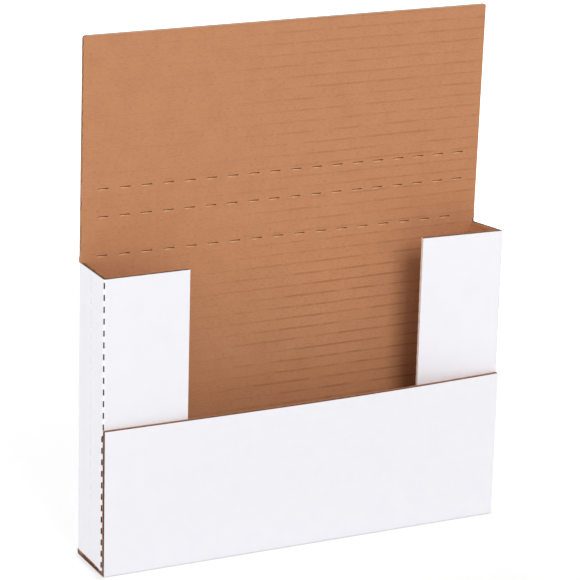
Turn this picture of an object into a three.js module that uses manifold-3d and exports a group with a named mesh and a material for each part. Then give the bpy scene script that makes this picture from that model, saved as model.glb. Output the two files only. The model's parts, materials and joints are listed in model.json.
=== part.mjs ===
// A shallow mailer folded from one die-cut sheet of corrugated board: white outside, brown kraft inside.
// It stands upright on its bottom panel with the lid raised. X runs across the width, the front is
// towards -Y, Z is up, the origin is under the middle of the box, and every length is in millimetres.
import * as THREE from "three";
import { mergeGeometries, mergeVertices } from "three/addons/utils/BufferGeometryUtils.js";
import Module from "manifold-3d";

const wasm = await Module();
wasm.setup();

// Board: two flat papers with a wavy one glued between them
const board = 2.9;
const liner = 0.35;
const medium = 0.3;
const flutePitch = 6.5;
const glueLine = 0.5;
const cutRim = 0.9;

// Folds
const foldRadius = 1.2;
const foldGap = 0.3;
const foldCrush = 5;
const foldRise = 3;

// Box
const width = 250;
const insideDepth = 30;
const wallHeight = 174.2;
const leftTuck = 51.5;
const leftTuckLean = 0;
const rightTuck = 48.9;
const rightTuckLean = 8.3;
const frontHeight = 87;

// Lid: its narrow top strip, the fold row for a shallower pack, and the wide cover
const shallowRow = 22.5;
const coverRow = 38.6;
const coverHeight = 87;
const lidInset = 0.3;
const lidLean = 1.1;

// Perforation: the dashes cut along the lid's folds, down the front corners and down the side walls
const slitLength = 6.4;
const slitWidth = 0.9;
const shutSlitWidth = 0.3;
const slitMargin = 12.5;
const lidSlitPitch = 13.6;
const coverSlitPitch = 13.2;
const wallRow = 19;
const columnSlitLength = 3.6;
const columnSlitPitch = 6.83;
const columnSlitMargin = 1.5;

// Colours seen in the photo
const white = new THREE.MeshStandardMaterial({ color: 0xececf0, roughness: 0.85, metalness: 0 });
const kraft = new THREE.MeshStandardMaterial({ color: 0xc48862, roughness: 0.9, metalness: 0 });

// Places that follow from the sizes. The front flap lies over the tucked side flaps, and the side
// walls stand on the bottom panel.
const depth = insideDepth + 3 * board + foldGap;
const side = width / 2;
const back = depth / 2;
const front = -depth / 2;
const backInside = back - board;
const tuckFace = front + board + foldGap;
const wallFoot = board + foldGap;
const lidFold = wallHeight + foldRise;
const halfGap = foldGap / 2;
const mitreShift = foldGap / Math.SQRT2;
const across = new THREE.Vector3(1, 0, 0);
const inward = new THREE.Vector3(0, 1, 0);
const up = new THREE.Vector3(0, 0, 1);
const cutOver = 2 * board;

// One solid from closed shapes that don't touch each other.
function solidOf(...shapes) {
  const bare = shapes.map((shape) => {
    const faces = shape.index ? shape.toNonIndexed() : shape;
    return new THREE.BufferGeometry().setAttribute("position", faces.getAttribute("position"));
  });
  const joined = mergeVertices(mergeGeometries(bare));
  return new wasm.Manifold(
    new wasm.Mesh({
      numProp: 3,
      vertProperties: joined.getAttribute("position").array,
      triVerts: new Uint32Array(joined.index.array),
    }),
  );
}

// A named mesh from a finished solid.
function meshOf(name, solid, material) {
  const made = solid.getMesh();
  const shape = new THREE.BufferGeometry()
    .setAttribute("position", new THREE.BufferAttribute(made.vertProperties, 3))
    .setIndex(new THREE.BufferAttribute(made.triVerts, 1))
    .toNonIndexed();
  shape.computeVertexNormals();
  const mesh = new THREE.Mesh(shape, material);
  mesh.name = name;
  return mesh;
}

// An outline through corners [x, y, radius], where a corner with a radius is a round fold.
function foldedOutline(corners) {
  const steps = 4;
  const points = [];
  corners.forEach(([x, y, radius], i) => {
    const corner = new THREE.Vector2(x, y);
    if (!radius) {
      points.push(corner);
      return;
    }
    const before = new THREE.Vector2(...corners.at(i - 1)).sub(corner).normalize();
    const after = new THREE.Vector2(...corners[(i + 1) % corners.length]).sub(corner).normalize();
    const halfAngle = Math.acos(before.dot(after)) / 2;
    const turn = (Math.PI - 2 * halfAngle) * Math.sign(after.cross(before));
    const middle = before.clone().add(after).setLength(radius / Math.sin(halfAngle));
    const start = before.setLength(radius / Math.tan(halfAngle)).sub(middle);
    for (let k = 0; k <= steps; k += 1) {
      const spoke = start.clone().rotateAround(new THREE.Vector2(), (turn * k) / steps);
      points.push(corner.clone().add(middle).add(spoke));
    }
  });
  return points;
}

// Cell outlines of the flutes in a stretch of board that starts at a point of its white face, runs along
// one direction for a length, and is as thick as the board through another. Cells under and over the
// wave alternate, and each one is flat at its liner and rounded where the wave passes.
function fluteCells(start, along, through, length) {
  const cellHalf = (flutePitch - glueLine) / 2;
  const cellDepth = board - 2 * liner - medium;
  const spacing = flutePitch / 2;
  const count = Math.floor((length - 2 * cutRim - 2 * cellHalf) / spacing) + 1;
  const first = (length - (count - 1) * spacing) / 2;
  const steps = 5;
  const cells = [];
  for (let i = 0; i < count; i += 1) {
    const cell = [];
    for (let k = 0; k <= steps; k += 1) {
      const share = (2 * k) / steps - 1;
      const rise = liner + (cellDepth * (1 + Math.cos(Math.PI * share))) / 2;
      const level = i % 2 ? board - rise : rise;
      const place = first + i * spacing + share * cellHalf;
      cell.push(start.clone().addScaledVector(along, place).addScaledVector(through, level));
    }
    cells.push(cell);
  }
  return cells;
}

// A solid of side sections, drawn with Y and Z as their two directions and pulled across a given width.
function acrossWidth(outlines, span) {
  const sections = outlines.map((outline) => new THREE.Shape(outline));
  return solidOf(
    new THREE.ExtrudeGeometry(sections, { depth: span, bevelEnabled: false })
      .applyMatrix4(new THREE.Matrix4().makeBasis(inward, up, across))
      .translate(-span / 2, 0, 0),
  );
}

// Board with the given side section, fluted right through from one raw edge to the other.
function flutedBoard(outline, cells, span) {
  return acrossWidth([outline], span).subtract(acrossWidth(cells, span + cutOver));
}

// A flat upright panel in the lid's own frame, from one height to another, with the fold line and the
// kraft face at Y = 0.
function uprightPanel(foot, top) {
  const outline = foldedOutline([[0, foot], [board, foot], [board, top], [0, top]]);
  const whiteFoot = new THREE.Vector2(board, foot);
  const towardsKraft = new THREE.Vector2(-1, 0);
  const cells = fluteCells(whiteFoot, new THREE.Vector2(0, 1), towardsKraft, top - foot);
  return flutedBoard(outline, cells, width - 2 * lidInset);
}

// Cutters for a row of slits through an upright panel, dashed from the left margin at its own pitch.
function slitRow(height, pitch, facePosition) {
  const cutters = [];
  for (let x = slitMargin - side; x <= side - slitMargin; x += pitch) {
    cutters.push(
      new THREE.BoxGeometry(slitLength, 3 * board, slitWidth).translate(x, facePosition + board / 2, height),
    );
  }
  return solidOf(...cutters);
}

// Directions of a tucked flap: along it from its fold to its free edge, and through it from white to kraft.
function tuckDirections(hand, lean) {
  const angle = THREE.MathUtils.degToRad(lean);
  return {
    along: new THREE.Vector2(-hand * Math.cos(angle), Math.sin(angle)),
    through: new THREE.Vector2(hand * Math.sin(angle), Math.cos(angle)),
    corner: new THREE.Vector2(hand * side, tuckFace),
  };
}

// Plan corners of a side: the tucked flap's white end, the front fold, then the kraft end and the inner corner.
function sideCorners(hand, tuck, lean) {
  const { along, through, corner } = tuckDirections(hand, lean);
  const whiteEnd = corner.clone().addScaledVector(along, tuck);
  const kraftEnd = whiteEnd.clone().addScaledVector(through, board);
  const kraftLine = corner.clone().addScaledVector(through, board);
  const toWall = (hand * (side - board) - kraftLine.x) / along.x;
  const inner = kraftLine.addScaledVector(along, toWall);
  return { whiteEnd, fold: [corner.x, corner.y, foldRadius], kraftEnd, inner };
}

// Flutes that show at a tucked flap's free edge: blind cells that end where the fold pressed them shut.
function tuckFlutes(hand, tuck, lean) {
  const { through, corner } = tuckDirections(hand, lean);
  const thickness = new THREE.Vector3(through.x, through.y, 0);
  const pull = thickness.clone().cross(up);
  const start = hand < 0 ? foldCrush : -tuck - cutOver;
  const place = new THREE.Vector3(corner.x, corner.y, wallFoot).addScaledVector(pull, start);
  const frame = new THREE.Matrix4().makeBasis(thickness, up, pull).setPosition(place);
  const cells = fluteCells(
    new THREE.Vector2(0, 0),
    new THREE.Vector2(0, 1),
    new THREE.Vector2(1, 0),
    wallHeight - wallFoot,
  );
  const shapes = cells.map((cell) => new THREE.Shape(cell));
  const reach = tuck + cutOver - foldCrush;
  return solidOf(
    new THREE.ExtrudeGeometry(shapes, { depth: reach, bevelEnabled: false }).applyMatrix4(frame),
  );
}

// Cutters for a column of dashes down a side, each one a slot of the given width, turned about Z.
function slitColumn(x, y, turn, slot) {
  const wall = wallHeight - wallFoot;
  const count = Math.floor((wall - columnSlitLength - 2 * columnSlitMargin) / columnSlitPitch) + 1;
  const lowest = wallFoot + (wall - (count - 1) * columnSlitPitch) / 2;
  const cutters = [];
  for (let i = 0; i < count; i += 1) {
    cutters.push(
      new THREE.BoxGeometry(slot, 3 * board, columnSlitLength)
        .rotateZ(turn)
        .translate(x, y, lowest + i * columnSlitPitch),
    );
  }
  return solidOf(...cutters);
}

// The dashes of the front fold, cut across the corner, and those of the shallower fold in the wall, which
// stay nearly shut because that fold isn't used.
function sideSlits(hand) {
  const wallMiddle = hand * (side - board / 2);
  const corner = slitColumn(wallMiddle, tuckFace + board / 2, (hand * Math.PI) / 4, slitWidth);
  const wall = slitColumn(wallMiddle, back - wallRow, Math.PI / 2, shutSlitWidth);
  return corner.add(wall);
}

// A wedge that takes away what lies past the mitre of the front fold, above it or below it.
function mitreWedge(above) {
  const shift = above ? -mitreShift : mitreShift;
  const low = [front - cutOver, -cutOver + shift];
  const high = [front + cutOver, cutOver + shift];
  const far = above ? [front - cutOver, cutOver + shift] : [front + cutOver, -cutOver + shift];
  return acrossWidth([foldedOutline([low, high, far])], width + cutOver);
}

// The box: the bottom panel and the foot of the back panel, a ring of back, walls and tucked flaps that
// stands on it, and the strip of the back panel above the walls. Foot and strip reach a little into the
// ring, where the cuts that free the walls from the sheet end.
function boxSolid() {
  const bottomCells = fluteCells(
    new THREE.Vector2(front + board, 0),
    new THREE.Vector2(1, 0),
    new THREE.Vector2(0, 1),
    depth - 2 * board,
  );
  const bottomOutline = foldedOutline([
    [front, 0, foldRadius],
    [back, 0, foldRadius],
    [back, wallFoot + foldGap],
    [backInside, wallFoot + foldGap],
    [backInside, board],
    [front, board],
  ]);
  const bottom = flutedBoard(bottomOutline, bottomCells, width).subtract(mitreWedge(true));

  const left = sideCorners(-1, leftTuck, leftTuckLean);
  const right = sideCorners(1, rightTuck, rightTuckLean);
  const ringOutline = foldedOutline([
    [left.whiteEnd.x, left.whiteEnd.y],
    left.fold,
    [-side, back, foldRadius],
    [side, back, foldRadius],
    right.fold,
    [right.whiteEnd.x, right.whiteEnd.y],
    [right.kraftEnd.x, right.kraftEnd.y],
    [right.inner.x, right.inner.y],
    [side - board, backInside],
    [board - side, backInside],
    [left.inner.x, left.inner.y],
    [left.kraftEnd.x, left.kraftEnd.y],
  ]);
  const ring = solidOf(
    new THREE.ExtrudeGeometry(new THREE.Shape(ringOutline), {
      depth: wallHeight - wallFoot,
      bevelEnabled: false,
    }).translate(0, 0, wallFoot),
  );

  const stripFoot = wallHeight - foldGap;
  const stripTop = lidFold - halfGap;
  const stripOutline = foldedOutline([
    [backInside, stripFoot],
    [back, stripFoot],
    [back, stripTop],
    [backInside, stripTop],
  ]);
  const strip = acrossWidth([stripOutline], width);

  return bottom
    .add(ring)
    .add(strip)
    .subtract(tuckFlutes(-1, leftTuck, leftTuckLean))
    .subtract(tuckFlutes(1, rightTuck, rightTuckLean))
    .subtract(sideSlits(-1))
    .subtract(sideSlits(1))
    .subtract(slitRow(lidFold, lidSlitPitch, backInside));
}

// The front flap, mitred at the fold that it shares with the bottom panel.
function frontFlapSolid() {
  const outline = foldedOutline([
    [front, 0, foldRadius],
    [front + board, 0],
    [front + board, frontHeight],
    [front, frontHeight],
  ]);
  const cells = fluteCells(
    new THREE.Vector2(front, board),
    new THREE.Vector2(0, 1),
    new THREE.Vector2(1, 0),
    frontHeight - board,
  );
  return flutedBoard(outline, cells, width).subtract(mitreWedge(false));
}

// The strip of the lid between its base fold and the cover's fold, with the shallower fold row across it.
function lidPanelSolid() {
  return uprightPanel(halfGap, coverRow - halfGap)
    .subtract(slitRow(0, lidSlitPitch, 0))
    .subtract(slitRow(shallowRow, coverSlitPitch, 0))
    .subtract(slitRow(coverRow, coverSlitPitch, 0));
}

// The lid's wide end, which comes down over the front when the mailer is closed.
function lidCoverSolid() {
  return uprightPanel(halfGap, coverHeight).subtract(slitRow(0, coverSlitPitch, 0));
}

const lid = new THREE.Group();
lid.position.set(0, backInside, lidFold);
lid.rotation.x = THREE.MathUtils.degToRad(lidLean);
lid.add(meshOf("lid_panel", lidPanelSolid(), kraft));

const cover = new THREE.Group();
cover.position.z = coverRow;
cover.add(meshOf("lid_cover", lidCoverSolid(), kraft));
lid.add(cover);

const mailer = new THREE.Group();
mailer.add(meshOf("box", boxSolid(), white));
mailer.add(meshOf("front_flap", frontFlapSolid(), white));
mailer.add(lid);

export default mailer;
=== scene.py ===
# %% [markdown]
# # A corrugated cardboard mailer
# The object is a shallow mailer, folded from one die-cut sheet of corrugated board that is white outside
# and brown kraft inside. It stands on its bottom panel with its lid raised. This lesson loads the packed
# model as a fixed frame, replaces its plain solids by finer sheets with real wavy flutes, gives them paper
# materials, and lights them as in a small studio. Lengths are in metres.

# %% Load the frame
import json

import bmesh
import bpy
import numpy as np
from mathutils import Matrix, Vector


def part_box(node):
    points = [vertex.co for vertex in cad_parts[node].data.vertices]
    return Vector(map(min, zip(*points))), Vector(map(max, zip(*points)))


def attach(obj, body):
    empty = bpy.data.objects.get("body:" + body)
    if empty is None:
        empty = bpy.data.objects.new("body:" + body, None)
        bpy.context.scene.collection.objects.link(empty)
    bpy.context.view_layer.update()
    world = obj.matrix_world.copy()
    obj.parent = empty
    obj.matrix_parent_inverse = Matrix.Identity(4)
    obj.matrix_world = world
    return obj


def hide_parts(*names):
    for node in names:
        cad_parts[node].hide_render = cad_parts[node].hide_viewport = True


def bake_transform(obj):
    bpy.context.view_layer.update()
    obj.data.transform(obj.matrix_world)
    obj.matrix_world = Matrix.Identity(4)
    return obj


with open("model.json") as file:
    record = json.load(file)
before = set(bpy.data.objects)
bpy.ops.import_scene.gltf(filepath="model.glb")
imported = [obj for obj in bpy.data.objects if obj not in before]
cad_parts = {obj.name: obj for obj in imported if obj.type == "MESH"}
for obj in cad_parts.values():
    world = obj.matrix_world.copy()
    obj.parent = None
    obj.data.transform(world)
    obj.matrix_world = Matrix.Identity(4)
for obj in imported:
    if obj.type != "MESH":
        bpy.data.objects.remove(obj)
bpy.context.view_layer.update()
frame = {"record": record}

# %% [markdown]
# ## The board
# Single-wall corrugated board is two flat papers, the liners, with a wavy one, the medium, glued between
# them. The waves are called flutes. On this mailer they all run across its width, so they show as waves at
# the left and right edges and as thin lines at the top edges. The real panels are one sheet, so every panel
# below takes the same few numbers, and its overall places come from the CAD nodes and joints.

# %% Board and box sizes
MM = 0.001
BOARD = 2.9 * MM
LINER = 0.35 * MM
MEDIUM = 0.3 * MM
FLUTE = 6.5 * MM
FOLD = 1.2 * MM
INSIDE_FOLD = 0.3 * MM
TUCK_GAP = 0.3 * MM
WALL_DROP = 3 * MM
COVER_LENGTH = 87 * MM

box_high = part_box("box")[1]
flap_low, flap_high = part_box("front_flap")
joints = {j["name"]: j for j in frame["record"]["behaviour"]["joints"]}
lid_fold = Vector(joints["lid_fold"]["pos_m"])
cover_fold = Vector(joints["cover_fold"]["pos_m"])
lid_direction = (cover_fold - lid_fold).normalized()

SIDE, BACK, FRONT = box_high.x, box_high.y, flap_low.y
FLAP_TOP = flap_high.z
WALL_FOOT, WALL_TOP = 3.2 * MM, lid_fold.z - WALL_DROP
TUCK_FACE = FRONT + BOARD + TUCK_GAP
COVER_ROW = (cover_fold - lid_fold).length
SHALLOW_ROW = 22.5 * MM
LID_TOP = COVER_ROW + COVER_LENGTH
print("wall top, flap top, cover row:", [round(v, 4) for v in (WALL_TOP, FLAP_TOP, COVER_ROW)])

# %% [markdown]
# ## Rows of points that follow the flutes
# A sheet is a grid. Its columns follow each other along the flutes, from left to right, and its rows follow
# each other across them. Eight rows to a flute are enough to bend the papers into their shallow waves. Where
# a slit needs rows of its own, the regular ones that crowd them are left out.

# %% Row and column helpers
ROWS_PER_FLUTE = 8
ROW = FLUTE / ROWS_PER_FLUTE
CROWDED_ROW = 0.3 * ROW


def merged(regular, own, clearance):
    """Regular places and a piece's own ones in order, without the regular ones that crowd its own."""
    own = np.array(sorted(own))
    kept = [v for v in regular if np.abs(own - v).min() > clearance]
    return np.unique(np.round(np.concatenate([kept, own]), 7))


def flute_rows(low, high, own=()):
    """Rows from low to high, half a row off the wave tips, so that each tip has a flat glued line."""
    first, last = int(np.ceil(low / ROW - 0.5)), int(np.floor(high / ROW - 0.5))
    regular = (np.arange(first, last + 1) + 0.5) * ROW
    return merged(regular, [low, high, *own], CROWDED_ROW)


print("rows in 100 mm of board:", len(flute_rows(0.0, 0.1)))

# %% [markdown]
# The grid's columns and rows also give each point its place on the flat sheet. The paper's pattern is made
# from that place later, so it stays put when a panel folds.

# %% Places on the flat sheet
def flat_grid(columns, rows):
    """Each point's place on the flat sheet, and a grid of cells that are all there."""
    place = np.stack(np.broadcast_arrays(columns[:, None], rows), 2)
    return place, np.ones((len(columns) - 1, len(rows) - 1), bool)


print("cells of a 3 by 4 grid:", flat_grid(np.arange(3), np.arange(4))[1].size)

# %% [markdown]
# ## Folding a sheet
# Along its folded section a sheet has a white outer face and a kraft inner face, a board apart. At a fold
# the outer paper stretches round a small radius and the inner one creases. The function walks along corner
# points, places pairs of outer and inner points at the given stops, and adds a short arc at each fold.

# %% Folded sections
ARC_STEPS = 8


def right_of(direction):
    return np.array([direction[1], -direction[0]])


def folded(corners, stops):
    """Outer points, inner points and the station numbers where each fold's arc starts, for a path whose
    inside lies on its right. Stops are distances from each corner to the next one."""
    corners = [np.array(c, float) for c in corners]
    ways = [(b - a) / np.linalg.norm(b - a) for a, b in zip(corners, corners[1:])]
    outer, inner, arcs = [], [], []
    for k, way in enumerate(ways):
        if k:
            before = ways[k - 1]
            turn = np.arccos(np.clip(before @ way, -1, 1))
            reach = np.tan(turn / 2)
            outer_centre = corners[k] - before * FOLD * reach + right_of(before) * FOLD
            inner_corner = corners[k] - before * BOARD * reach + right_of(before) * BOARD
            inner_centre = inner_corner - before * INSIDE_FOLD * reach + right_of(before) * INSIDE_FOLD
            arcs.append(len(outer))
            for step in range(ARC_STEPS + 1):
                angle = turn * step / ARC_STEPS
                spoke = -right_of(before) * np.cos(angle) + before * np.sin(angle)
                outer.append(outer_centre + spoke * FOLD)
                inner.append(inner_centre + spoke * INSIDE_FOLD)
        for stop in stops[k]:
            outer.append(corners[k] + way * stop)
            inner.append(corners[k] + way * stop + right_of(way) * BOARD)
    return np.array(outer), np.array(inner), arcs


print("outer and inner fold radius:", FOLD / MM, "and", INSIDE_FOLD / MM, "mm")

# %% [markdown]
# ## From a grid to a closed sheet
# One class turns grids of outer and inner points into a closed mesh. Cells that are switched off become
# slits with walls. At its two raw ends a fluted sheet shows the liners and the wavy medium, with small blind
# tunnels between them, which is what one sees at a cut edge of real board. Each kind of face has its own
# material: both papers, the raw ends, their tunnels, the rims along the long edges, and the slits' walls.

# %% Sheet meshes
PAPER_WHITE, PAPER_KRAFT, CUT_EDGE, TUNNEL, RIM, SLIT = range(6)
TUNNEL_DEPTH = 6 * MM
TIP_FLATNESS = 1.09
FLUTE_SHUT = 0.02
SHARP_ANGLE = 0.6


def wave(across):
    return np.cos(2 * np.pi * across / FLUTE)


class SheetMesh:
    """Points, faces and materials of one sheet, gathered before they become a Blender mesh. The pair of
    shares after fluted tells how far the outer and the inner points are painted paler, and pale_ends does so
    for the raw ends; on a bead, a slit's lip or a tucked flap's free end this paler colour is a painted
    highlight."""

    def __init__(
        self, outer, inner, place, present, fluted, pale_and_highlight=(0.0, 0.0), pale_ends=0.0, slit_kind=CUT_EDGE
    ):
        self.shape = outer.shape[:2]
        count = self.shape[0] * self.shape[1]
        self.points = np.concatenate([outer.reshape(-1, 3), inner.reshape(-1, 3)])
        flat = place.reshape(-1, 2)
        depths = np.repeat([0.0, 1.0], count)
        self.places = np.column_stack([np.concatenate([flat, flat]), depths])
        self.pale_and_highlight = np.concatenate([np.broadcast_to(w, self.shape).ravel() for w in pale_and_highlight])
        self.pale_ends, self.slit_kind = pale_ends, slit_kind
        self.outer = np.arange(count).reshape(self.shape)
        self.inner = self.outer + count
        self.faces, self.kinds = [], []
        self.cover(present)
        self.end(0, 1, fluted)
        self.end(self.shape[0] - 1, -1, fluted)

    def add(self, kind, *corners):
        rows = np.stack(corners, 1).tolist()
        self.faces += [tuple(dict.fromkeys(row)) for row in rows]
        self.kinds += [kind] * len(rows)

    def grow(self, points, places):
        first = len(self.points)
        self.points = np.concatenate([self.points, points])
        self.places = np.concatenate([self.places, places])
        self.pale_and_highlight = np.concatenate([self.pale_and_highlight, np.full(len(points), self.pale_ends)])
        return np.arange(first, first + len(points))

    def cover(self, present):
        """Both papers, and a wall wherever a cell that is there meets one that isn't, but not at the ends."""
        outer, inner = self.outer, self.inner
        i, j = np.nonzero(present)
        self.add(PAPER_WHITE, outer[i, j], outer[i + 1, j], outer[i + 1, j + 1], outer[i, j + 1])
        self.add(PAPER_KRAFT, inner[i, j], inner[i, j + 1], inner[i + 1, j + 1], inner[i + 1, j])
        ringed = np.pad(present, 1)
        across = ringed[:-1, 1:-1] != ringed[1:, 1:-1]
        across[[0, -1]] = False
        i, j = np.nonzero(across)
        self.add(self.slit_kind, outer[i, j], outer[i, j + 1], inner[i, j + 1], inner[i, j])
        along = ringed[1:-1, :-1] != ringed[1:-1, 1:]
        rim = np.zeros_like(along)
        rim[:, [0, -1]] = True
        for kind, chosen in ((RIM, along & rim), (self.slit_kind, along & ~rim)):
            i, j = np.nonzero(chosen)
            self.add(kind, outer[i, j], outer[i + 1, j], inner[i + 1, j], inner[i, j])

    def end(self, column, step, fluted):
        """A raw end: liners, medium and the tunnels between them. fluted is 0 where a fold crushed them."""
        outer, inner = self.outer[column], self.inner[column]
        start, through = self.points[outer], self.points[inner] - self.points[outer]
        inward = self.points[self.outer[column + step]] - start
        inward = inward / np.linalg.norm(inward, axis=1)[:, None] * TUNNEL_DEPTH
        along, across = self.places[outer, 0], self.places[outer, 1]

        swing = np.clip(TIP_FLATNESS * wave(across), -1, 1)
        low, high = LINER / BOARD, 1 - LINER / BOARD
        travel = 0.5 - (LINER + MEDIUM / 2) / BOARD
        slope = np.abs(np.sin(2 * np.pi * across / FLUTE)) * travel * BOARD * 2 * np.pi / FLUTE
        half = MEDIUM / BOARD / 2 * np.sqrt(1 + slope**2)
        under = low + (0.5 - swing * travel - half - low) * fluted
        over = high - (high - 0.5 + swing * travel - half) * fluted
        shut = fluted < FLUTE_SHUT
        shut[[0, -1]] = True
        shut_under, shut_over = shut | (swing >= 1), shut | (swing <= -1)

        def line(depth, inwards=0.0):
            depth = np.broadcast_to(depth, across.shape)
            place = np.column_stack([along, across, depth])
            return self.grow(start + through * depth[:, None] + inward * inwards, place)

        def strip(kind, first, second, chosen=slice(None)):
            self.add(kind, first[:-1][chosen], first[1:][chosen], second[1:][chosen], second[:-1][chosen])

        outside, inside = line(low), line(high)
        lower = np.where(shut_under, outside, line(np.where(shut_under, low, under)))
        upper = np.where(shut_over, inside, line(np.where(shut_over, high, over)))
        strip(CUT_EDGE, outer, outside)
        strip(CUT_EDGE, lower, upper)
        strip(CUT_EDGE, inside, inner)
        for closed, liner_line, medium_line, depth, wall_depth in (
            (shut_under, outside, lower, low, under),
            (shut_over, inside, upper, high, over),
        ):
            cells = ~(closed[:-1] & closed[1:])
            far_liner = line(depth, 1.0)
            far_medium = np.where(closed, far_liner, line(np.where(closed, depth, wall_depth), 1.0))
            strip(TUNNEL, liner_line, far_liner, cells)
            strip(TUNNEL, medium_line, far_medium, cells)
            strip(TUNNEL, far_liner, far_medium, cells)

    def build(self, name, materials):
        used = np.unique([v for face in self.faces for v in face])
        number = np.full(len(self.points), -1)
        number[used] = np.arange(len(used))
        mesh = bpy.data.meshes.new(name)
        faces = [number[list(face)].tolist() for face in self.faces]
        mesh.from_pydata(self.points[used].tolist(), [], faces)
        for material in materials:
            mesh.materials.append(material)
        mesh.polygons.foreach_set("material_index", self.kinds)
        attribute = mesh.attributes.new("place", "FLOAT_VECTOR", "POINT")
        attribute.data.foreach_set("vector", self.places[used].astype(np.float32).ravel())
        attribute = mesh.attributes.new("pale_and_highlight", "FLOAT", "POINT")
        attribute.data.foreach_set("value", self.pale_and_highlight[used].astype(np.float32))
        work = bmesh.new()
        work.from_mesh(mesh)
        bmesh.ops.recalc_face_normals(work, faces=work.faces)
        loose = sum(1 for edge in work.edges if not edge.is_manifold)
        work.to_mesh(mesh)
        work.free()
        mesh.shade_smooth()
        mesh.set_sharp_from_angle(angle=SHARP_ANGLE)
        piece = bpy.data.objects.new(name, mesh)
        bpy.context.collection.objects.link(piece)
        print(name, len(mesh.polygons), "faces,", loose, "open edges")
        return piece


print("tunnels at a raw end:", TUNNEL_DEPTH / MM, "mm deep")

# %% [markdown]
# ## Waves in the papers
# Fresh board isn't quite flat: its liners sink a little between the flutes, which gives the washboard lines
# that show on the kraft side. They are stronger towards the right of this mailer, and the heavier white
# paper hides them nearly. The waves are moved into the points, a few hundredths of a millimetre.

# %% Washboard
KRAFT_WAVE = 0.03 * MM
WHITE_WAVE = 0.012 * MM
LEFT_SHARE, ADDED_SHARE = 0.35, 0.65
STRONGER_FROM, STRONGER_OVER = 0.01, 0.03


def washboard(outer, inner, place):
    """Outer and inner points moved along the board's thickness by the waves of the flutes."""
    through = inner - outer
    through = through / np.linalg.norm(through, axis=2)[:, :, None]
    share = LEFT_SHARE + ADDED_SHARE / (1 + np.exp(-(place[:, :, 0] - STRONGER_FROM) / STRONGER_OVER))
    height = wave(place[:, :, 1])[:, :, None]
    inner = inner - through * height * share[:, :, None] * KRAFT_WAVE
    outer = outer - through * height * WHITE_WAVE
    return outer, inner


print("deepest wave:", KRAFT_WAVE / MM, "mm")

# %% [markdown]
# ## Slits
# The folds are cut through in dashes, so that the board bends where it should. Seen on the kraft side, a
# slit is nearly twice as wide at its right end as at its left one, and on the white side it is nearly shut
# all along. The knife left the board a little bruised: the lower lip of a slit is pressed in. Columns and
# rows of points are laid at the slits first, and the cells between them are then left out.

# %% Rows and columns at the slits
SLIT_HALF = 3.2 * MM
SLIT_MARGIN = 12.5 * MM
SLIT_STOPS = np.array([-1.25, -1.0, -0.4, 0.3, 1.0, 1.25]) * SLIT_HALF
LID_PITCH, COVER_PITCH = 13.6 * MM, 13.2 * MM
SLIT_HEIGHT = 0.34 * MM
LIP_ROW = 0.8 * MM
LID_COLUMNS, CROWDED_COLUMN = 30, 1.5 * MM


def slit_places(pitch):
    return np.arange(SLIT_MARGIN - SIDE, SIDE - SLIT_MARGIN + MM / 100, pitch)


def slit_columns(pitch):
    """Distances from the middle, dense enough to shape each slit."""
    own = (slit_places(pitch)[:, None] + SLIT_STOPS).ravel()
    return merged(np.linspace(-SIDE, SIDE, LID_COLUMNS), [-SIDE, SIDE, *own], CROWDED_COLUMN)


def slit_own_rows(height):
    below = (-SLIT_HEIGHT - 1.4 * LIP_ROW, -SLIT_HEIGHT - LIP_ROW, -SLIT_HEIGHT)
    above = (SLIT_HEIGHT, SLIT_HEIGHT + LIP_ROW)
    return [height + step for step in below + above]


def open_slits(columns, rows, heights, pitch, present):
    """Switch off the cells of each slit in a grid of cells."""
    across_middle = (columns[:-1] + columns[1:]) / 2
    up_middle = (rows[:-1] + rows[1:]) / 2
    near = np.abs(across_middle[:, None] - slit_places(pitch)).min(1) < SLIT_HALF
    for height in heights:
        present[np.ix_(near, np.abs(up_middle - height) < SLIT_HEIGHT)] = False
    return present


slit_counts = [len(slit_places(pitch)) for pitch in (LID_PITCH, COVER_PITCH)]
print("slits in a lid row and in a cover row:", slit_counts)

# %% [markdown]
# The slit's own shape comes from moving the points at its edges. The lip below it is pressed into the kraft
# face, deepest left of the slit's middle, so that it catches the light from above as a thin bright line.

# %% Shape of a slit
SLIT_BACK = 0.12 * MM
OPEN_MIDDLE, OPEN_GAIN = 0.78, 0.22
LIP_DENT = 0.28 * MM
LIP_MIDDLE, LIP_SPREAD, LIP_FALL = -0.25, 0.85, 0.75 * LIP_ROW
HAIR = MM / 50


def shape_slits(columns, rows, heights, pitch):
    """How far each point moves up on the kraft side and on the white one, and how far it is pressed into
    the kraft face, beside the slits."""
    offset = columns[:, None] - slit_places(pitch)
    offset = offset[np.arange(len(columns)), np.abs(offset).argmin(1)]
    inside = np.abs(offset) < 1.01 * SLIT_HALF
    opening = np.clip(OPEN_MIDDLE + OPEN_GAIN * offset / SLIT_HALF, 0, 1)
    lift, back_lift, dent = np.zeros((3, len(columns), len(rows)))
    lip = np.exp(-(((offset / SLIT_HALF - LIP_MIDDLE) / LIP_SPREAD) ** 2))
    lip = lip * (np.abs(offset) < 1.1 * SLIT_HALF)
    for height in heights:
        for j, row in enumerate(rows):
            away = row - height
            if abs(abs(away) - SLIT_HEIGHT) < HAIR:
                lift[:, j] += np.where(inside, -np.sign(away) * SLIT_HEIGHT * (1 - opening), 0)
                back_lift[:, j] += np.where(inside, -np.sign(away) * (SLIT_HEIGHT - SLIT_BACK * opening), 0)
            below = np.exp(-(((away + SLIT_HEIGHT) / LIP_FALL) ** 2))
            dent[:, j] += lip * below * LIP_DENT
    return lift, back_lift, dent


print("a slit is", 2 * SLIT_HALF / MM, "mm long and its lip is pressed in by", LIP_DENT / MM, "mm")

# %% [markdown]
# ## Paper, cut edge and tunnel materials
# Each material works from a point's place on the flat sheet: along the flutes, across them, and through the
# board. A small helper keeps the node calls short, and names each setting where it is given.

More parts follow.
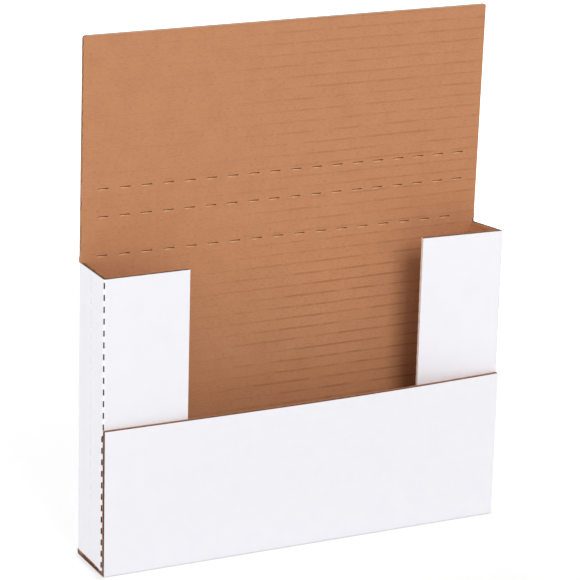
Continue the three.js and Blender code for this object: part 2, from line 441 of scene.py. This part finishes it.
# %% Node helpers
ATTRIBUTE_VECTOR, ATTRIBUTE_VALUE = 1, 2
MIX_SHARE, MIX_FIRST, MIX_SECOND, MIX_COLOUR_OUT = 0, 6, 7, 2


class Nodes:
    """Short calls that add a node, set its inputs and return an output."""

    def __init__(self, tree):
        self.tree = tree

    def feed(self, node, inputs):
        for key, value in inputs.items():
            if isinstance(value, bpy.types.NodeSocket):
                self.tree.links.new(value, node.inputs[key])
            else:
                node.inputs[key].default_value = value

    def add(self, kind, inputs=None, output=0, **settings):
        node = self.tree.nodes.new(kind)
        for key, value in settings.items():
            setattr(node, key, value)
        self.feed(node, inputs or {})
        return node.outputs[output]

    def place(self):
        return self.add("ShaderNodeAttribute", output=ATTRIBUTE_VECTOR, attribute_name="place")

    def pale_and_highlight(self):
        return self.add("ShaderNodeAttribute", output=ATTRIBUTE_VALUE, attribute_name="pale_and_highlight")

    def stretched(self, vector, by):
        return self.add("ShaderNodeVectorMath", {0: vector, 1: by}, operation="MULTIPLY")

    def math(self, operation, *values):
        return self.add("ShaderNodeMath", dict(enumerate(values)), operation=operation)

    def ramp(self, value, low, high, out_low=0.0, out_high=1.0):
        inputs = {"Value": value, "From Min": low, "From Max": high, "To Min": out_low, "To Max": out_high}
        return self.add("ShaderNodeMapRange", inputs, interpolation_type="SMOOTHSTEP")

    def noise(self, vector, scale, detail=2.0, roughness=0.5):
        inputs = {"Vector": vector, "Scale": scale, "Detail": detail, "Roughness": roughness}
        return self.add("ShaderNodeTexNoise", inputs)

    def mix(self, share, first, second):
        inputs = {MIX_SHARE: share, MIX_FIRST: first, MIX_SECOND: second}
        return self.add("ShaderNodeMix", inputs, output=MIX_COLOUR_OUT, data_type="RGBA")

    def bump(self, height, strength, distance):
        return self.add("ShaderNodeBump", {"Strength": strength, "Distance": distance, "Height": height})


def linear(red, green, blue):
    """A colour as it is seen on a screen, 0 to 255, as the linear values that Blender works in."""
    values = [c / 255 for c in (red, green, blue)]
    return (*[c / 12.92 if c <= 0.04045 else ((c + 0.055) / 1.055) ** 2.4 for c in values], 1.0)


print("a middle grey of a screen, in linear values:", round(linear(128, 128, 128)[0], 3))

# %% [markdown]
# Effects that several materials share are node groups: a small tree of its own with named inputs and
# outputs, which each material places like a single node. This function makes an empty one.

# %% Node groups
FLOAT, VECTOR = "NodeSocketFloat", "NodeSocketVector"


def node_group(name, inputs, outputs):
    """A node group with the given sockets: its nodes, its inputs and a way to set its outputs."""
    tree = bpy.data.node_groups.new(name, "ShaderNodeTree")
    for label, kind in inputs:
        tree.interface.new_socket(label, in_out="INPUT", socket_type=kind)
    for label, kind in outputs:
        tree.interface.new_socket(label, in_out="OUTPUT", socket_type=kind)
    entry, leave = tree.nodes.new("NodeGroupInput"), tree.nodes.new("NodeGroupOutput")

    def finish(**values):
        for label, value in values.items():
            tree.links.new(value, leave.inputs[label])
        print("group", name, "has", len(tree.nodes), "nodes")
        return tree

    return Nodes(tree), entry.outputs, finish


print("sockets in use:", FLOAT, "and", VECTOR)

# %% [markdown]
# The first shared effect is the paper itself. Pulp settles unevenly, so there are clouds of slightly darker
# stock, small dark flecks, and fibres that lie mostly along the flutes. The fibres become a fine bump.

# %% Paper fibre group
n, source, finish = node_group(
    "paper_fibre", [("Place", VECTOR)], [("Cloud", FLOAT), ("Fleck", FLOAT), ("Height", FLOAT)]
)
long_way = n.stretched(source["Place"], by=(0.35, 1.0, 1.0))
cloud = n.noise(source["Place"], scale=75.0, detail=5.0, roughness=0.7)
fleck = n.noise(long_way, scale=1100.0, detail=4.0, roughness=0.75)
fibre = n.noise(long_way, scale=1500.0, detail=4.0, roughness=0.7)
paper_fibre = finish(Cloud=cloud, Fleck=fleck, Height=fibre)

# %% [markdown]
# The glued tips of the flutes show through the papers as lines, and the same lines carry painted shade of the
# washboard waves. This group gives their mask: one line to a flute, a little broken along its way, stronger
# to the right, where the wave of the board is deeper too, and fainter on the lid.

# %% Flute line group
n, source, finish = node_group("flute_lines", [("Place", VECTOR)], [("Line", FLOAT), ("Share", FLOAT)])
parts = n.add("ShaderNodeSeparateXYZ", {0: source["Place"]}).node.outputs
wander = n.noise(source["Place"], scale=22.0)
phase = n.math("MULTIPLY", parts["Y"], 2 * np.pi / FLUTE)
phase = n.math("ADD", phase, n.ramp(wander, 0.3, 0.7, -0.12, 0.12))
crest = n.math("COSINE", phase)
line = n.ramp(crest, -1.0, -0.7, 1.0, 0.0)
share = n.ramp(parts["X"], -0.05, 0.03, 0.22, 1.0)
long_way = n.stretched(source["Place"], by=(1.0, 3.0, 0.0))
broken = n.ramp(n.noise(long_way, scale=60.0, detail=4.0), 0.36, 0.62, 0.15, 1.0)
height_share = n.ramp(parts["Y"], 0.14, 0.18, 1.0, 0.6)
flute_lines = finish(Line=n.math("MULTIPLY", line, broken), Share=n.math("MULTIPLY", share, height_share))

# %% [markdown]
# Materials keep the Principled shader to themselves and take colours and heights from the groups. White and
# kraft paper are the same recipe with different colours: cloudy stock, flecks, the lines of the flutes with
# their painted shade of the washboard, and places where the paper is painted paler. These are the lid's top
# edge and, as a painted highlight, the beads beside the unused dashes and the lips below the slits.

# %% White and kraft paper
WHITE = linear(246, 245, 250)
WHITE_CLOUD = linear(243, 243, 249)
WHITE_PALE_AND_HIGHLIGHT = linear(253, 253, 254)
KRAFT = linear(197, 138, 98)
KRAFT_CLOUD = linear(192, 133, 94)
KRAFT_LINE_AND_SHADE = linear(152, 98, 64)
KRAFT_FLECK = linear(140, 92, 62)
KRAFT_PALE_AND_HIGHLIGHT = linear(226, 176, 134)
PAPER_SHEEN = 0.25
FIBRE_HEIGHT = 0.04 * MM


def new_material(name):
    """An empty material, its nodes and its Principled shader."""
    material = bpy.data.materials.new(name)
    material.use_nodes = True
    return material, Nodes(material.node_tree), material.node_tree.nodes["Principled BSDF"]


def paper(
    name, base, cloudy, fleck_colour, fleck_share, line_colour, line_share, pale_and_highlight_colour, bump, roughness
):
    material, n, shader = new_material(name)
    place = n.place()
    fibres = n.add("ShaderNodeGroup", node_tree=paper_fibre).node
    flutes = n.add("ShaderNodeGroup", node_tree=flute_lines).node
    for group in (fibres, flutes):
        n.feed(group, {"Place": place})
    colour = n.mix(n.ramp(fibres.outputs["Cloud"], 0.35, 0.75), base, cloudy)
    fleck = n.ramp(fibres.outputs["Fleck"], 0.46, 0.72, 0.0, fleck_share)
    colour = n.mix(fleck, colour, fleck_colour)
    # The flute lines darken the colour: partly glue lines, partly painted shade of the washboard waves.
    line = n.math("MULTIPLY", flutes.outputs["Line"], flutes.outputs["Share"])
    colour = n.mix(n.math("MULTIPLY", line, line_share), colour, line_colour)
    # Paler places: on the beads and the slits' lips this paler colour is a painted highlight.
    colour = n.mix(n.ramp(n.pale_and_highlight(), 0.15, 0.9), colour, pale_and_highlight_colour)
    rough = n.ramp(fibres.outputs["Cloud"], 0.2, 0.8, roughness - 0.04, roughness + 0.06)
    normal = n.bump(fibres.outputs["Height"], strength=bump, distance=FIBRE_HEIGHT)
    n.feed(shader, {"Base Color": colour, "Roughness": rough, "Normal": normal})
    n.feed(shader, {"Specular IOR Level": PAPER_SHEEN})
    print("material", name, "has", len(material.node_tree.nodes), "nodes")
    return material


white_paper = paper(
    "white_paper", WHITE, WHITE_CLOUD, fleck_colour=WHITE_CLOUD, fleck_share=0.4,
    line_colour=WHITE_CLOUD, line_share=0.4, pale_and_highlight_colour=WHITE_PALE_AND_HIGHLIGHT, bump=0.2, roughness=0.72,
)
kraft_paper = paper(
    "kraft_paper", KRAFT, KRAFT_CLOUD, fleck_colour=KRAFT_FLECK, fleck_share=0.34,
    line_colour=KRAFT_LINE_AND_SHADE, line_share=0.56, pale_and_highlight_colour=KRAFT_PALE_AND_HIGHLIGHT, bump=0.4, roughness=0.82,
)

# %% [markdown]
# A cut edge shows the layers: a thin white skin at the outer face, a kraft one at the inner face, and bruised
# brown medium between them. The third number of the place runs from 0 at the white face to 1 at the kraft
# face. The ends of the flutes are greyish brown, and the rims at the top, which the knife ran along, are
# darker and turn to kraft more gradually. Some rims and ends are painted paler; at the tucked flaps' free
# ends this pale colour is a painted highlight.

# %% Cut edges
EDGE_SKIN = linear(236, 232, 230)
EDGE_KRAFT = linear(186, 136, 103)
EDGE_PALE = linear(244, 234, 222)
RAW_BROWN, RAW_DARK = linear(132, 105, 95), linear(102, 80, 73)
RIM_BROWN, RIM_DARK = linear(122, 92, 76), linear(96, 70, 56)
SKIN_FULL, SKIN_GONE = 0.04, 0.1
TORN_ROUGHNESS = 0.95
EDGE_SHEEN = 0.1


def edge_material(name, brown, dark, kraft_from, kraft_to):
    """A cut edge. Between the two depths its brown turns to the colour of the kraft liner."""
    material, n, shader = new_material(name)
    place = n.place()
    depth = n.add("ShaderNodeSeparateXYZ", {0: place}).node.outputs["Z"]
    drawn_out = n.stretched(place, by=(1.0, 1.0, 0.004))
    torn = n.noise(drawn_out, scale=1400.0, detail=3.0, roughness=0.6)
    wander = n.ramp(n.noise(drawn_out, scale=300.0), 0.3, 0.7, -0.12, 0.12)
    colour = n.mix(n.ramp(torn, 0.35, 0.62), dark, brown)
    colour = n.mix(n.ramp(n.math("ADD", depth, wander), kraft_from, kraft_to), colour, EDGE_KRAFT)
    colour = n.mix(n.ramp(depth, SKIN_FULL, SKIN_GONE, 1.0, 0.0), colour, EDGE_SKIN)
    # Paler rims and ends: at the tucked flaps' free ends this paler colour is a painted highlight.
    pale = n.math("MULTIPLY", n.pale_and_highlight(), n.ramp(torn, 0.2, 0.7, 0.8, 1.0))
    colour = n.mix(n.ramp(pale, 0.0, 0.45), colour, EDGE_KRAFT)
    colour = n.mix(n.ramp(pale, 0.45, 1.0), colour, EDGE_PALE)
    normal = n.bump(torn, strength=0.6, distance=0.1 * MM)
    n.feed(shader, {"Base Color": colour, "Normal": normal})
    n.feed(shader, {"Roughness": TORN_ROUGHNESS, "Specular IOR Level": EDGE_SHEEN})
    print("material", name, "turns to kraft from", kraft_from, "to", kraft_to, "of the board")
    return material


raw_edge = edge_material("raw_edge", RAW_BROWN, RAW_DARK, kraft_from=0.66, kraft_to=0.92)
rim_edge = edge_material("rim_edge", RIM_BROWN, RIM_DARK, kraft_from=0.4, kraft_to=0.95)

# %% [markdown]
# Inside a flute and in a slit one sees bare, unpressed paper, which is a warmer brown than a cut edge. The
# tunnels are painted paler together with the raw ends they belong to, so at the tucked flaps' free ends they
# are part of a painted highlight. The slits keep their brown, or else they would be lost beside the painted
# highlight of their lips.

# %% Tunnels and slits
TUNNEL_BROWN, TUNNEL_DARK = linear(176, 124, 90), linear(140, 92, 64)
SLIT_BROWN, SLIT_DARK = linear(178, 114, 74), linear(140, 86, 54)


def torn_material(name, brown, dark, follows_pale_ends):
    """Bare brown paper inside a flute or a slit. If asked, it is painted paler along with the raw end around
    it, which at the tucked flaps' free ends is a painted highlight.
    """
    material, n, shader = new_material(name)
    colour = n.mix(n.ramp(n.noise(n.place(), scale=900.0, detail=3.0), 0.35, 0.7), dark, brown)
    if follows_pale_ends:
        colour = n.mix(n.ramp(n.pale_and_highlight(), 0.4, 1.0), colour, EDGE_PALE)
    n.feed(shader, {"Base Color": colour, "Roughness": TORN_ROUGHNESS})
    return material


flute_tunnel = torn_material("flute_tunnel", TUNNEL_BROWN, TUNNEL_DARK, follows_pale_ends=True)
slit_wall = torn_material("slit_wall", SLIT_BROWN, SLIT_DARK, follows_pale_ends=False)
materials = [white_paper, kraft_paper, raw_edge, flute_tunnel, rim_edge, slit_wall]
print("materials, in the order of the kinds of face:", [m.name for m in materials])

# %% [markdown]
# ## Back panel, walls and tucked flaps
# One band of board goes round the box: from a tucked side flap over the front corner, along the side wall,
# across the back and round again. The right flap leans in a little. A second, unused column of dashes for a
# shallower pack runs down each side wall, so its stops along the wall are laid here too.

# %% Plan of the wall band
LEFT_TUCK, RIGHT_TUCK, RIGHT_LEAN = 51.5 * MM, 48.9 * MM, np.radians(8.3)
NEAR_FOLD = 4 * MM
WALL_ROW = 19 * MM
WALL_DASH_HALF, WALL_DASH_NEAR, WALL_DASH_FAR = 0.12 * MM, 0.8 * MM, 3 * MM
TUCK_COLUMNS, BACK_COLUMNS = 8, 30

wall_length = BACK - TUCK_FACE
wall_dash = wall_length - WALL_ROW
before_dash = [wall_dash - v for v in (WALL_DASH_FAR, WALL_DASH_NEAR, WALL_DASH_HALF)]
after_dash = [2 * wall_dash - v for v in reversed(before_dash)]
wall_stops = [NEAR_FOLD, *before_dash, *after_dash, wall_length - NEAR_FOLD]
right_way = np.array([-np.cos(RIGHT_LEAN), np.sin(RIGHT_LEAN)])
right_corner = np.array([SIDE, TUCK_FACE])
plan = [
    (-SIDE + LEFT_TUCK, TUCK_FACE),
    (-SIDE, TUCK_FACE),
    (-SIDE, BACK),
    (SIDE, BACK),
    tuple(right_corner),
    tuple(right_corner + right_way * RIGHT_TUCK),
]
stops = [
    np.linspace(0, LEFT_TUCK - NEAR_FOLD, TUCK_COLUMNS),
    wall_stops,
    np.linspace(NEAR_FOLD, 2 * SIDE - NEAR_FOLD, BACK_COLUMNS),
    sorted(wall_length - np.array(wall_stops)),
    np.linspace(NEAR_FOLD, RIGHT_TUCK, TUCK_COLUMNS),
]
outer_plan, inner_plan, arcs = folded(plan, stops)
along = np.concatenate([[0], np.cumsum(np.linalg.norm(np.diff(outer_plan, axis=0), axis=1))])
along -= along[(arcs[1] + arcs[2]) // 2 + ARC_STEPS // 2]
print("the band is", round((along[-1] - along[0]) / MM), "mm long, in", len(along), "columns")

# %% [markdown]
# Dashes run down both front corners, right through the fold, and the unused column on each wall is cut with
# the same knife. Its cuts never opened, so they show only as hair lines.

# %% Dashes down the corners and walls
DASH_LENGTH, DASH_PITCH, DASH_MARGIN = 3.6 * MM, 6.83 * MM, 1.5 * MM
LEFT_SHUT, RIGHT_SHUT = 2, 3

dash_span = WALL_TOP - WALL_FOOT
dash_count = int((dash_span - DASH_LENGTH - 2 * DASH_MARGIN) / DASH_PITCH) + 1
dash_middles = WALL_FOOT + dash_span / 2 + (np.arange(dash_count) - (dash_count - 1) / 2) * DASH_PITCH
dash_ends = np.concatenate([dash_middles - DASH_LENGTH / 2, dash_middles + DASH_LENGTH / 2])
wall_rows = flute_rows(WALL_FOOT, WALL_TOP, dash_ends)

place, present = flat_grid(along, wall_rows)
row_middles = (wall_rows[:-1] + wall_rows[1:]) / 2
dashed = np.abs(row_middles[:, None] - dash_middles).min(1) < DASH_LENGTH / 2
for arc, shut in ((arcs[0], LEFT_SHUT), (arcs[3], RIGHT_SHUT)):
    present[arc + shut : arc + ARC_STEPS - shut, dashed] = False
wall_dash_columns = [arcs[k] + ARC_STEPS + 1 + len(before_dash) for k in (0, 2)]
for column in wall_dash_columns:
    present[column, dashed] = False
print(dash_count, "dashes in each column")

# %% [markdown]
# The band is now raised to its height and made less perfect. The board beside each unused dash stands up in
# a small bead. The right wall stands out a little at the front, and its top rises towards the front corner
# and drops to the cut at the back one. Under the front flap's top the left corner is pressed outwards.

# %% Raised band
BEAD_RISE = 0.2 * MM
TUCK_FLUTES = 0.35
FLARE, FLARE_START = 0.9 * MM, 20 * MM
RIGHT_RISE, RIGHT_DROP, TUCK_DROP = 1.0 * MM, -2.6 * MM, -0.4 * MM
SLOPE_HEIGHT = 20 * MM
PRESSED, PRESSED_WIDTH, PRESSED_EDGE = 0.7 * MM, 5 * MM, 2 * MM


def upright(points, rows):
    grid = np.empty((len(points), len(rows), 3))
    grid[:, :, :2] = points[:, None]
    grid[:, :, 2] = rows
    return grid


outer, inner = washboard(upright(outer_plan, wall_rows), upright(inner_plan, wall_rows), place)
through = inner - outer
through /= np.linalg.norm(through, axis=2)[:, :, None]
near_dash = np.exp(-((np.abs(wall_rows[:, None] - dash_middles).min(1) / (0.6 * DASH_LENGTH)) ** 4))
bead = np.zeros(outer.shape[:2])
for column in wall_dash_columns:
    bead[[column, column + 1]] = near_dash
outer -= through * bead[:, :, None] * BEAD_RISE

left_bend, right_bend = along[arcs[0] + ARC_STEPS // 2], along[arcs[3] + ARC_STEPS // 2]
back_bend, near_back_bend = along[arcs[2] + ARC_STEPS], along[arcs[2] + ARC_STEPS - 2]
flare = np.interp(along, [back_bend - FLARE_START, back_bend, right_bend, along[-1]], [0, 1, 1, 0])
top_places = [near_back_bend, back_bend, right_bend, along[-1]]
top_rise = np.interp(along, top_places, [0, RIGHT_DROP, RIGHT_RISE, TUCK_DROP])
high = np.clip((wall_rows - WALL_TOP + SLOPE_HEIGHT) / SLOPE_HEIGHT, 0, 1)
pressed = np.exp(-(((along - left_bend) / PRESSED_WIDTH) ** 2))[:, None]
pressed = pressed * np.clip((FLAP_TOP - PRESSED_EDGE - wall_rows) / PRESSED_EDGE, 0, 1)
for grid in (outer, inner):
    grid[:, :, 0] += flare[:, None] * FLARE - pressed * PRESSED
    grid[:, :, 2] += top_rise[:, None] * high
print("the right wall's top rises by", RIGHT_RISE / MM, "mm and drops by", -RIGHT_DROP / MM, "mm")

# %% [markdown]
# The band becomes a mesh, rides on the box and takes the place of the box's plain solid.

# %% Wall band mesh
tuck_flutes = np.full(len(wall_rows), TUCK_FLUTES)
# The beads beside the unused dashes and both raw ends of the band, the tucked flaps' free edges, are painted
# paler as a painted highlight.
walls = SheetMesh(outer, inner, place, present, tuck_flutes, pale_and_highlight=(bead, 0.0), pale_ends=1.0)
walls = walls.build("box_walls", materials)
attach(walls, "box")
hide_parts("box")

# %% [markdown]
# ## Bottom panel
# The bottom, the front flap and the lid share a recipe: a folded side section pulled across the width,
# fluted at its left and right ends. The flutes are crushed near each fold. The bottom ends at a seam a
# little behind the front fold, so that the flap's own sheet can take the fold and bend.

# %% Sections pulled across the width
SEAM = 8 * MM
CRUSH, CRUSH_EDGE = 3.5 * MM, 1.5 * MM
END_COLUMN, FIRST_COLUMN, PLAIN_COLUMNS = 2 * MM, 10 * MM, 20


def pulled(section_outer, section_inner, half_width, columns):
    """Grids of points for a side section of Y and Z, with columns from the left edge to the right one."""
    share = columns / SIDE
    outer = np.empty((len(columns), len(section_outer), 3))
    inner = np.empty_like(outer)
    for grid, section in ((outer, section_outer), (inner, section_inner)):
        grid[:, :, 0] = share[:, None] * half_width
        grid[:, :, 1:] = section
    return outer, inner


def fluted_share(rows, folds):
    """1 where the flutes are whole and 0 where a fold crushed them."""
    away = np.min([np.abs(rows - fold) for fold in folds], axis=0)
    return np.clip((away - CRUSH) / CRUSH_EDGE, 0, 1)


def section_rows(section_outer, section_inner, start):
    """Each station's distance across the flutes, measured along the middle of the board."""
    middle = (section_outer + section_inner) / 2
    return start - np.concatenate([[0], np.cumsum(np.linalg.norm(np.diff(middle, axis=0), axis=1))])


def stops_to(length):
    """Stops a row apart, from just past a fold to the given length."""
    return np.arange(NEAR_FOLD, length - ROW / 2, ROW).tolist() + [length]


middle_columns = np.linspace(-SIDE + FIRST_COLUMN, SIDE - FIRST_COLUMN, PLAIN_COLUMNS)
plain_columns = np.concatenate([[-SIDE, -SIDE + END_COLUMN], middle_columns, [SIDE - END_COLUMN, SIDE]])
print("columns of a plain panel:", len(plain_columns))

# %% Bottom panel
base_corners = [(BACK, WALL_FOOT), (BACK, 0), (FRONT + SEAM, 0)]
base_outer, base_inner, _ = folded(base_corners, [[0.0], stops_to(BACK - FRONT - SEAM)])
base_rows = section_rows(base_outer, base_inner, WALL_FOOT)
place, present = flat_grid(plain_columns, base_rows)
outer, inner = pulled(base_outer, base_inner, SIDE, plain_columns)
outer, inner = washboard(outer, inner, place)
outer[:, :, 2] = np.maximum(outer[:, :, 2], 0)
bottom = SheetMesh(outer, inner, place, present, fluted_share(base_rows, [0]))
bottom = bottom.build("bottom_panel", materials)
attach(bottom, "box")

# %% [markdown]
# ## Front flap
# The flap stands up from the bottom's front edge in front of the tucked side flaps.

# %% Front flap
FLAP_BOW, BOW_POWER = 0.9 * MM, 1.5
FLAP_LIFT, LIFT_START = 1.8 * MM, -20 * MM

flap_corners = [(FRONT + SEAM, 0), (FRONT, 0), (FRONT, FLAP_TOP)]
flap_stops = [[0.0, SEAM - NEAR_FOLD], stops_to(FLAP_TOP)]
flap_outer, flap_inner, flap_arcs = folded(flap_corners, flap_stops)
flap_rows = section_rows(flap_outer, flap_inner, base_rows[-1])
fold_row = flap_rows[flap_arcs[0] + ARC_STEPS // 2]
place, present = flat_grid(plain_columns, flap_rows)
outer, inner = pulled(flap_outer, flap_inner, SIDE, plain_columns)
outer, inner = washboard(outer, inner, place)
outer[:, :, 2] = np.maximum(outer[:, :, 2], 0)
high = np.clip(outer[:, :, 2] / FLAP_TOP, 0, 1)
right_share = np.clip(outer[:, :, 0] - LIFT_START, 0, None) / (SIDE - LIFT_START)
lift = right_share**2 * high * FLAP_LIFT
bow = (1 - (outer[:, :, 0] / SIDE) ** 2) * high**BOW_POWER * FLAP_BOW
for grid in (outer, inner):
    grid[:, :, 1] -= bow
    grid[:, :, 2] += lift
flap = SheetMesh(outer, inner, place, present, fluted_share(flap_rows, [fold_row]))
flap = flap.build("front_flap_sheet", materials)
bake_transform(flap)
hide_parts("front_flap")

# %% [markdown]
# ## Lid
# The lid goes on from the back panel and leans forward a little. Three rows of slits cross it: one at its
# fold, one for a shallower pack that wasn't used, and one where the cover would fold down. Its upper corners
# are blunt, as if knocked in handling. It is made in two sheets that meet between the first two rows,
# because each sheet can bend between two bodies only.

# %% Lid sheets
LID_SEAM = 11 * MM
LID_INSET = 0.3 * MM
LID_FLUTES = 0.5
LID_RIM_PALE, LID_END_PALE = 0.68, 0.5
BLUNT_LEFT, BLUNT_RIGHT, BLUNT_REACH = 1.8 * MM, 0.5 * MM, 6 * MM
lid_across = np.array([lid_direction.y, lid_direction.z])
lid_out = np.array([lid_direction.z, -lid_direction.y])
fold_point = np.array([lid_fold.y, lid_fold.z])


def lid_section(rows):
    """Outer and inner points of the back strip below the fold and of the lid above it, by rows."""
    above = (rows > 0)[:, None]
    inner = fold_point + np.where(above, lid_across, (0.0, 1.0)) * rows[:, None]
    outer = inner + np.where(above, lid_out, (1.0, 0.0)) * BOARD
    return outer, inner


def blunt_corners(grids, rows, columns):
    for blunt, hand in ((BLUNT_LEFT, -1), (BLUNT_RIGHT, 1)):
        past = np.clip(rows - (LID_TOP - blunt), 0, blunt)
        cut = blunt - np.sqrt(blunt**2 - past**2)
        weight = np.clip(1 - (SIDE - hand * columns) / BLUNT_REACH, 0, 1)
        for grid in grids:
            grid[:, :, 0] -= hand * weight[:, None] * cut


def lid_sheet(name, low, high, slit_heights, pitch, own=()):
    """A sheet from the row low to the row high, both measured up the lid from its fold."""
    columns = slit_columns(pitch)
    own = [r for height in slit_heights for r in slit_own_rows(height)] + list(own)
    rows = flute_rows(lid_fold.z + low, lid_fold.z + high, [lid_fold.z + r for r in own]) - lid_fold.z
    half_width = np.where(rows <= 0, SIDE, SIDE - LID_INSET)
    outer, inner = pulled(*lid_section(rows), half_width[None, :], columns)
    blunt_corners((outer, inner), rows, columns)
    place, present = flat_grid(columns, rows + lid_fold.z)
    outer, inner = washboard(outer, inner, place)
    lift, back_lift, dent = shape_slits(columns, rows, slit_heights, pitch)
    for grid, move in ((outer, back_lift), (inner, lift)):
        grid[:, :, 1:] += move[:, :, None] * lid_across
    inner[:, :, 1:] += dent[:, :, None] * lid_out
    present = open_slits(columns, rows, slit_heights, pitch, present)
    rim = np.where(rows > LID_TOP - HAIR, LID_RIM_PALE, 0.0)[None, :]
    # The lip pressed in below each slit is painted paler as well, a painted highlight beside its real dent,
    # and the top rim is painted paler.
    pale_and_highlight = (rim, np.maximum(dent / LIP_DENT, rim))
    fluted = fluted_share(rows, slit_heights) * LID_FLUTES
    sheet = SheetMesh(outer, inner, place, present, fluted, pale_and_highlight, LID_END_PALE, SLIT)
    return sheet.build(name, materials)


print("the lid is", round(LID_TOP / MM, 1), "mm high above its fold")

# %% [markdown]
# The first sheet holds the lid's fold and bends there from the back panel into the lid's strip. The second
# one holds the other two rows and runs on up to the lid's top. It takes the place of both solids.


lid_base = lid_sheet("lid_fold_strip", WALL_TOP - lid_fold.z, LID_SEAM, [0.0], LID_PITCH)
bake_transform(lid_base)

corner_rows = [LID_TOP - v * MM for v in (0.2, 0.5, 0.9, 1.3, 1.8)]
lid_cover = lid_sheet("lid_sheet", LID_SEAM, LID_TOP, [SHALLOW_ROW, COVER_ROW], COVER_PITCH, corner_rows)
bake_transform(lid_cover)
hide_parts("lid_panel", "lid_cover")

# %% [markdown]
# ## Studio
# The photograph has a plain white background. A floor that was lit to white would throw much light back on
# the object, so it is only grey to the lamps, and to the camera it glows a little, less near the object,
# where a soft shadow stays, and more further out. Light Path tells the two kinds of ray apart. The world
# does the same: full white behind the object, and a plain fill for its light.

# %% Floor
FLOOR_HALF = 4.0
FLOOR_GREY = 0.62
GLOW_NEAR, GLOW_FAR = 0.42, 0.85
NEAR, FAR = 0.15, 0.8
PURE_WHITE = (1, 1, 1, 1)


def seen_directly(n):
    """1 for a ray that shows the background itself: to the camera, off something shiny or through glass."""
    path = n.add("ShaderNodeLightPath").node.outputs
    seen = n.math("MAXIMUM", path["Is Camera Ray"], path["Is Glossy Ray"])
    return n.math("MAXIMUM", seen, path["Is Transmission Ray"])


floor_material, n, shader = new_material("floor")
position = n.add("ShaderNodeNewGeometry").node.outputs["Position"]
distance = n.add("ShaderNodeVectorMath", {0: position}, output=1, operation="LENGTH")
glow = n.math("MULTIPLY", seen_directly(n), n.ramp(distance, NEAR, FAR, GLOW_NEAR, GLOW_FAR))
n.feed(shader, {"Base Color": (FLOOR_GREY, FLOOR_GREY, FLOOR_GREY, 1), "Roughness": 0.9})
n.feed(shader, {"Emission Color": PURE_WHITE, "Emission Strength": glow})

floor_mesh = bpy.data.meshes.new("floor")
floor_corners = [(x * FLOOR_HALF, y * FLOOR_HALF, 0) for x, y in ((-1, -1), (1, -1), (1, 1), (-1, 1))]
floor_mesh.from_pydata(floor_corners, [], [(0, 1, 2, 3)])
floor_mesh.materials.append(floor_material)
floor = bpy.data.objects.new("floor", floor_mesh)
bpy.context.collection.objects.link(floor)
print("floor:", 2 * FLOOR_HALF, "m wide")

# %% World
WORLD_LEVEL = 0.44

world = bpy.data.worlds.new("studio")
world.use_nodes = True
bpy.context.scene.world = world
n = Nodes(world.node_tree)
level = n.ramp(seen_directly(n), 0.0, 1.0, WORLD_LEVEL, 1.0)
n.feed(world.node_tree.nodes["Background"], {"Strength": level, "Color": PURE_WHITE})
print("world level:", WORLD_LEVEL)

# %% [markdown]
# ## Lamps
# A large key lamp stands in front, far off and high up, so its shadows are soft and much of the kraft
# inside is lit. Three weaker ones to the left, to the right and behind keep the side wall and the back from
# going dark. The lamps' power is set so that white paper stays just below full white.

# %% Lamps
TARGET = Vector((0, 0, 0.13))


def soft_lamp(name, place, size, power):
    lamp = bpy.data.lights.new(name, "AREA")
    lamp.shape, lamp.size, lamp.energy = "SQUARE", size, power
    holder = bpy.data.objects.new(name, lamp)
    holder.location = place
    holder.rotation_euler = (TARGET - Vector(place)).to_track_quat("-Z", "Y").to_euler()
    bpy.context.collection.objects.link(holder)


soft_lamp("key_lamp", (0.14, -3.1, 2.07), size=1.6, power=61)
soft_lamp("left_fill_lamp", (-1.9, -0.35, 0.5), size=1.0, power=15)
soft_lamp("right_fill_lamp", (1.9, -0.1, 0.6), size=1.0, power=9)
soft_lamp("back_fill_lamp", (0.3, 1.9, 0.7), size=1.0, power=19)

# %% [markdown]
# ## Camera
# The camera looks from the front left, a little above the object, through a long lens. Its angles, in
# radians, its distance and its slight roll are the ones that the edges in the photograph give.

# %% Camera
AZIMUTH, ELEVATION, ROLL = 0.4668, 0.3079, 0.0277
AIM = Vector((0, 0, 0.130887))
SHIFT_X, SHIFT_Y, DISTANCE = 0.0027024, -0.0172793, 1.650706
FOCAL_PIXELS, PICTURE, SENSOR = 2893.37, 580, 36
FAR_CLIP = 20

level_share = np.cos(ELEVATION)
forward = Vector((np.sin(AZIMUTH) * level_share, np.cos(AZIMUTH) * level_share, -np.sin(ELEVATION)))
sideways = Vector((np.cos(AZIMUTH), -np.sin(AZIMUTH), 0))
upward = sideways.cross(forward)
right = sideways * np.cos(ROLL) + upward * np.sin(ROLL)
top = upward * np.cos(ROLL) - sideways * np.sin(ROLL)
camera = bpy.data.objects.new("camera", bpy.data.cameras.new("camera"))
bpy.context.collection.objects.link(camera)
axes = Matrix((right, top, -forward)).transposed().to_4x4()
stand = AIM - right * SHIFT_X - top * SHIFT_Y - forward * DISTANCE
camera.matrix_world = Matrix.Translation(stand) @ axes
camera.data.sensor_width = SENSOR
camera.data.lens = SENSOR * FOCAL_PIXELS / PICTURE
camera.data.clip_end = FAR_CLIP
bpy.context.scene.camera = camera
bpy.context.scene.view_settings.view_transform = "Standard"
print("lens:", round(camera.data.lens, 2), "mm")
